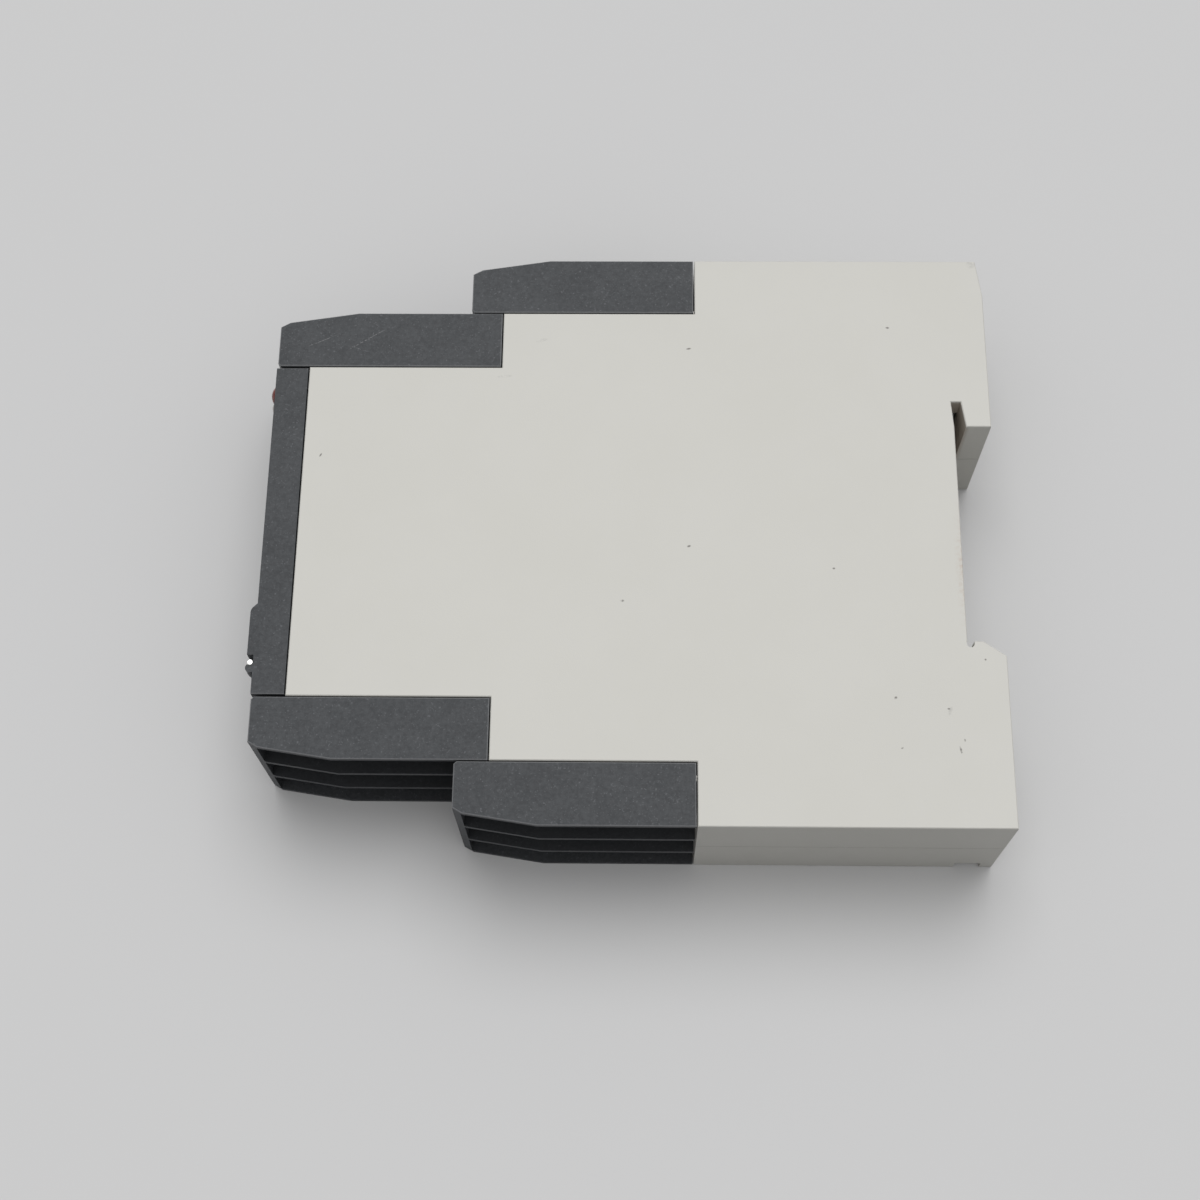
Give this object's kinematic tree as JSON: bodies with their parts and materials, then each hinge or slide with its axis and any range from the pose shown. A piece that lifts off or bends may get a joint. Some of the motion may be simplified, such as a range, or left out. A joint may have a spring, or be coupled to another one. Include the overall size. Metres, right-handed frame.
{
  "type": "current monitoring relay",
  "caption": "Slim rail-mounted current monitoring relay with a light grey shell housing, a dark front cover with a hinged flap, and stepped plug-in screw terminal blocks.",
  "frame": {"origin": "on the rail seat at the back, at half the height and half the width", "axes": "+X from the front face towards the mounting rail, +Y towards the relay's upper end, +Z out of its right side; the relay lies on its left side"},
  "size_m": [0.1091, 0.09, 0.0226],
  "materials": {
    "light_housing": "fine spark-eroded light grey",
    "dark_plastic": "fine grained anthracite",
    "light_knob": "smooth",
    "black_plastic": "moulded",
    "bright_steel": "bright",
    "zinc_steel": "zinc plated",
    "tinned_copper": "tinned",
    "red_lens": "clear red",
    "clear_lens": "milky",
    "led_chip": "gloss",
    "circuit_board": "solder resist",
    "relay_case": "gloss",
    "core_steel": "varnished laminations",
    "coil_tape": "wound tape",
    "capacitor_sleeve": "shrink sleeve"
  },
  "bodies": {
    "housing": {"right_half_shell": "light_housing", "left_half_shell": "light_housing", "front_cover": "dark_plastic", "flap_pin": "bright_steel", "red_lamp": "red_lens", "clear_lamp": "clear_lens", "status_leds": "led_chip", "setting_pots": "light_knob", "reset_switch": "black_plastic", "front_board": "circuit_board", "main_board": "circuit_board", "board_link": "black_plastic", "output_relay": "relay_case", "transformer_core": "core_steel", "transformer_coil": "coil_tape", "supply_capacitor": "capacitor_sleeve", "processor_chip": "black_plastic", "measuring_shunt": "tinned_copper", "rail_spring": "bright_steel", "upper_front_header": "tinned_copper", "upper_rear_header": "tinned_copper", "lower_front_header": "tinned_copper", "lower_rear_header": "tinned_copper"},
    "upper_front_terminal": {"upper_front_block": "dark_plastic", "upper_front_contacts": "tinned_copper"},
    "upper_front_screw_1": {"upper_front_screw_1": "zinc_steel"},
    "upper_front_cage_1": {"upper_front_cage_1": "zinc_steel"},
    "upper_front_screw_2": {"upper_front_screw_2": "zinc_steel"},
    "upper_front_cage_2": {"upper_front_cage_2": "zinc_steel"},
    "upper_front_screw_3": {"upper_front_screw_3": "zinc_steel"},
    "upper_front_cage_3": {"upper_front_cage_3": "zinc_steel"},
    "upper_rear_terminal": {"upper_rear_block": "dark_plastic", "upper_rear_contacts": "tinned_copper"},
    "upper_rear_screw_1": {"upper_rear_screw_1": "zinc_steel"},
    "upper_rear_cage_1": {"upper_rear_cage_1": "zinc_steel"},
    "upper_rear_screw_2": {"upper_rear_screw_2": "zinc_steel"},
    "upper_rear_cage_2": {"upper_rear_cage_2": "zinc_steel"},
    "upper_rear_screw_3": {"upper_rear_screw_3": "zinc_steel"},
    "upper_rear_cage_3": {"upper_rear_cage_3": "zinc_steel"},
    "lower_front_terminal": {"lower_front_block": "dark_plastic", "lower_front_contacts": "tinned_copper"},
    "lower_front_screw_1": {"lower_front_screw_1": "zinc_steel"},
    "lower_front_cage_1": {"lower_front_cage_1": "zinc_steel"},
    "lower_front_screw_2": {"lower_front_screw_2": "zinc_steel"},
    "lower_front_cage_2": {"lower_front_cage_2": "zinc_steel"},
    "lower_front_screw_3": {"lower_front_screw_3": "zinc_steel"},
    "lower_front_cage_3": {"lower_front_cage_3": "zinc_steel"},
    "lower_rear_terminal": {"lower_rear_block": "dark_plastic", "lower_rear_contacts": "tinned_copper"},
    "lower_rear_screw_1": {"lower_rear_screw_1": "zinc_steel"},
    "lower_rear_cage_1": {"lower_rear_cage_1": "zinc_steel"},
    "lower_rear_screw_2": {"lower_rear_screw_2": "zinc_steel"},
    "lower_rear_cage_2": {"lower_rear_cage_2": "zinc_steel"},
    "lower_rear_screw_3": {"lower_rear_screw_3": "zinc_steel"},
    "lower_rear_cage_3": {"lower_rear_cage_3": "zinc_steel"},
    "threshold_knob": {"threshold_knob": "light_knob"},
    "hysteresis_knob": {"hysteresis_knob": "light_knob"},
    "delay_knob": {"delay_knob": "light_knob"},
    "cover_flap": {"cover_flap": "dark_plastic"},
    "reset_button": {"reset_button": "light_knob"}
  },
  "joints": [
    {"name": "upper_front_pull", "type": "slide", "parent": "housing", "child": "upper_front_terminal", "axis": [-1, 0, 0], "range_m": [0, 0.035]},
    {"name": "upper_front_screw_1_turn", "type": "hinge", "parent": "upper_front_terminal", "child": "upper_front_screw_1", "pos_m": [-0.0971, 0.0295, -0.0072], "axis": [1, 0, 0], "range_deg": [0, 2340]},
    {"name": "upper_front_cage_1_rise", "type": "slide", "parent": "upper_front_terminal", "child": "upper_front_cage_1", "axis": [-1, 0, 0], "range_m": [0, 0.003]},
    {"name": "upper_front_screw_2_turn", "type": "hinge", "parent": "upper_front_terminal", "child": "upper_front_screw_2", "pos_m": [-0.0971, 0.0295, 0], "axis": [1, 0, 0], "range_deg": [0, 2340]},
    {"name": "upper_front_cage_2_rise", "type": "slide", "parent": "upper_front_terminal", "child": "upper_front_cage_2", "axis": [-1, 0, 0], "range_m": [0, 0.003]},
    {"name": "upper_front_screw_3_turn", "type": "hinge", "parent": "upper_front_terminal", "child": "upper_front_screw_3", "pos_m": [-0.0971, 0.0295, 0.0072], "axis": [1, 0, 0], "range_deg": [0, 2340]},
    {"name": "upper_front_cage_3_rise", "type": "slide", "parent": "upper_front_terminal", "child": "upper_front_cage_3", "axis": [-1, 0, 0], "range_m": [0, 0.003]},
    {"name": "upper_rear_pull", "type": "slide", "parent": "housing", "child": "upper_rear_terminal", "axis": [-1, 0, 0], "range_m": [0, 0.035]},
    {"name": "upper_rear_screw_1_turn", "type": "hinge", "parent": "upper_rear_terminal", "child": "upper_rear_screw_1", "pos_m": [-0.06785, 0.03885, -0.0072], "axis": [1, 0, 0], "range_deg": [0, 2340]},
    {"name": "upper_rear_cage_1_rise", "type": "slide", "parent": "upper_rear_terminal", "child": "upper_rear_cage_1", "axis": [-1, 0, 0], "range_m": [0, 0.003]},
    {"name": "upper_rear_screw_2_turn", "type": "hinge", "parent": "upper_rear_terminal", "child": "upper_rear_screw_2", "pos_m": [-0.06785, 0.03885, 0], "axis": [1, 0, 0], "range_deg": [0, 2340]},
    {"name": "upper_rear_cage_2_rise", "type": "slide", "parent": "upper_rear_terminal", "child": "upper_rear_cage_2", "axis": [-1, 0, 0], "range_m": [0, 0.003]},
    {"name": "upper_rear_screw_3_turn", "type": "hinge", "parent": "upper_rear_terminal", "child": "upper_rear_screw_3", "pos_m": [-0.06785, 0.03885, 0.0072], "axis": [1, 0, 0], "range_deg": [0, 2340]},
    {"name": "upper_rear_cage_3_rise", "type": "slide", "parent": "upper_rear_terminal", "child": "upper_rear_cage_3", "axis": [-1, 0, 0], "range_m": [0, 0.003]},
    {"name": "lower_front_pull", "type": "slide", "parent": "housing", "child": "lower_front_terminal", "axis": [-1, 0, 0], "range_m": [0, 0.035]},
    {"name": "lower_front_screw_1_turn", "type": "hinge", "parent": "lower_front_terminal", "child": "lower_front_screw_1", "pos_m": [-0.0971, -0.0295, 0.0072], "axis": [1, 0, 0], "range_deg": [0, 2340]},
    {"name": "lower_front_cage_1_rise", "type": "slide", "parent": "lower_front_terminal", "child": "lower_front_cage_1", "axis": [-1, 0, 0], "range_m": [0, 0.003]},
    {"name": "lower_front_screw_2_turn", "type": "hinge", "parent": "lower_front_terminal", "child": "lower_front_screw_2", "pos_m": [-0.0971, -0.0295, 0], "axis": [1, 0, 0], "range_deg": [0, 2340]},
    {"name": "lower_front_cage_2_rise", "type": "slide", "parent": "lower_front_terminal", "child": "lower_front_cage_2", "axis": [-1, 0, 0], "range_m": [0, 0.003]},
    {"name": "lower_front_screw_3_turn", "type": "hinge", "parent": "lower_front_terminal", "child": "lower_front_screw_3", "pos_m": [-0.0971, -0.0295, -0.0072], "axis": [1, 0, 0], "range_deg": [0, 2340]},
    {"name": "lower_front_cage_3_rise", "type": "slide", "parent": "lower_front_terminal", "child": "lower_front_cage_3", "axis": [-1, 0, 0], "range_m": [0, 0.003]},
    {"name": "lower_rear_pull", "type": "slide", "parent": "housing", "child": "lower_rear_terminal", "axis": [-1, 0, 0], "range_m": [0, 0.035]},
    {"name": "lower_rear_screw_1_turn", "type": "hinge", "parent": "lower_rear_terminal", "child": "lower_rear_screw_1", "pos_m": [-0.06785, -0.03885, 0.0072], "axis": [1, 0, 0], "range_deg": [0, 2340]},
    {"name": "lower_rear_cage_1_rise", "type": "slide", "parent": "lower_rear_terminal", "child": "lower_rear_cage_1", "axis": [-1, 0, 0], "range_m": [0, 0.003]},
    {"name": "lower_rear_screw_2_turn", "type": "hinge", "parent": "lower_rear_terminal", "child": "lower_rear_screw_2", "pos_m": [-0.06785, -0.03885, 0], "axis": [1, 0, 0], "range_deg": [0, 2340]},
    {"name": "lower_rear_cage_2_rise", "type": "slide", "parent": "lower_rear_terminal", "child": "lower_rear_cage_2", "axis": [-1, 0, 0], "range_m": [0, 0.003]},
    {"name": "lower_rear_screw_3_turn", "type": "hinge", "parent": "lower_rear_terminal", "child": "lower_rear_screw_3", "pos_m": [-0.06785, -0.03885, -0.0072], "axis": [1, 0, 0], "range_deg": [0, 2340]},
    {"name": "lower_rear_cage_3_rise", "type": "slide", "parent": "lower_rear_terminal", "child": "lower_rear_cage_3", "axis": [-1, 0, 0], "range_m": [0, 0.003]},
    {"name": "threshold_knob_turn", "type": "hinge", "parent": "housing", "child": "threshold_knob", "pos_m": [-0.1022, 0.0157, 0], "axis": [1, 0, 0], "range_deg": [-135, 135]},
    {"name": "hysteresis_knob_turn", "type": "hinge", "parent": "housing", "child": "hysteresis_knob", "pos_m": [-0.1022, 0.0045, 0], "axis": [1, 0, 0], "range_deg": [-135, 135]},
    {"name": "delay_knob_turn", "type": "hinge", "parent": "housing", "child": "delay_knob", "pos_m": [-0.1022, -0.0067, 0], "axis": [1, 0, 0], "range_deg": [-135, 135]},
    {"name": "flap_swing", "type": "hinge", "parent": "housing", "child": "cover_flap", "pos_m": [-0.10266, -0.02134, 0], "axis": [0, 0, 1], "range_deg": [0, 110]},
    {"name": "reset_press", "type": "slide", "parent": "housing", "child": "reset_button", "axis": [1, 0, 0], "range_m": [0, 0.0008], "stiffness_N_per_m": 300}
  ],
  "couplings": [
    {"joint": "upper_front_screw_1_turn", "follows": "upper_front_cage_1_rise", "rad_per_m": 12566},
    {"joint": "upper_front_screw_2_turn", "follows": "upper_front_cage_2_rise", "rad_per_m": 12566},
    {"joint": "upper_front_screw_3_turn", "follows": "upper_front_cage_3_rise", "rad_per_m": 12566},
    {"joint": "upper_rear_screw_1_turn", "follows": "upper_rear_cage_1_rise", "rad_per_m": 12566},
    {"joint": "upper_rear_screw_2_turn", "follows": "upper_rear_cage_2_rise", "rad_per_m": 12566},
    {"joint": "upper_rear_screw_3_turn", "follows": "upper_rear_cage_3_rise", "rad_per_m": 12566},
    {"joint": "lower_front_screw_1_turn", "follows": "lower_front_cage_1_rise", "rad_per_m": 12566},
    {"joint": "lower_front_screw_2_turn", "follows": "lower_front_cage_2_rise", "rad_per_m": 12566},
    {"joint": "lower_front_screw_3_turn", "follows": "lower_front_cage_3_rise", "rad_per_m": 12566},
    {"joint": "lower_rear_screw_1_turn", "follows": "lower_rear_cage_1_rise", "rad_per_m": 12566},
    {"joint": "lower_rear_screw_2_turn", "follows": "lower_rear_cage_2_rise", "rad_per_m": 12566},
    {"joint": "lower_rear_screw_3_turn", "follows": "lower_rear_cage_3_rise", "rad_per_m": 12566}
  ]
}
